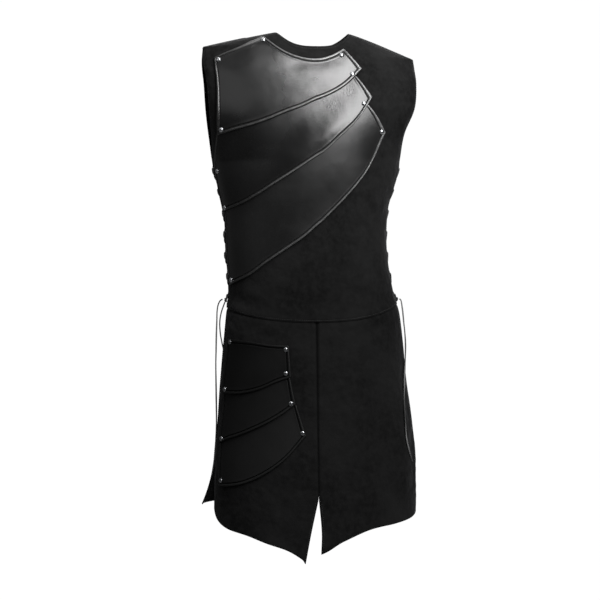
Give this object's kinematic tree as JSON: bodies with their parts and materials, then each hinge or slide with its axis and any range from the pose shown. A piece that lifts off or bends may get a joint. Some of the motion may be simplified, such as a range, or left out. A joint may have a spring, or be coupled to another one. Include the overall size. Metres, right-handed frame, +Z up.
{
  "type": "renaissance vest, worn form with no wearer",
  "caption": "Long sleeveless suede jerkin in its worn hollow form, laced at both sides, with overlapping riveted leather plates on chest and right hip and a pointed split front skirt.",
  "frame": {"origin": "between the wearer's shoulders, at the underside of the shoulder seams beside the neck, where the wearer's shoulders carry the vest", "axes": "+Z up; the front of the vest faces -Y; the wearer's right side is -X"},
  "size_m": [0.4306, 0.2727, 1.0361],
  "materials": {
    "suede": "black split suede, matte with a soft uneven nap",
    "chest_leather": "black oiled leather, semi-gloss, with a raised bead at the edges",
    "hip_leather": "black leather, nearly matte, with a raised bead at the edges",
    "nickel": "nickel-plated domed rivets, polished",
    "lace": "round black leather lace"
  },
  "bodies": {
    "root": {"front_body": "suede", "back_body": "suede", "skirt_front_right": "suede", "skirt_front_left": "suede", "skirt_back": "suede", "chest_plate_upper": "chest_leather", "chest_plate_middle": "chest_leather", "chest_plate_lower": "chest_leather", "hip_plate_upper": "hip_leather", "hip_plate_middle": "hip_leather", "hip_plate_lower": "hip_leather", "rivet_chest_upper_neck": "nickel", "rivet_chest_upper_shoulder": "nickel", "rivet_chest_upper_breast": "nickel", "rivet_chest_upper_tip": "nickel", "rivet_chest_upper_armhole": "nickel", "rivet_chest_middle_tip": "nickel", "rivet_chest_middle_underarm": "nickel", "rivet_chest_middle_side": "nickel", "rivet_chest_lower_tip": "nickel", "rivet_chest_lower_side": "nickel", "rivet_hip_upper_side_top": "nickel", "rivet_hip_upper_front_top": "nickel", "rivet_hip_upper_front_foot": "nickel", "rivet_hip_upper_side_foot": "nickel", "rivet_hip_middle_front": "nickel", "rivet_hip_middle_side": "nickel", "rivet_hip_lower_front": "nickel", "rivet_hip_lower_side": "nickel", "lacing_right": "lace", "lacing_left": "lace", "lace_end_right_outer": "lace", "lace_end_right_inner": "lace", "lace_end_left_outer": "lace"}
  },
  "joints": []
}
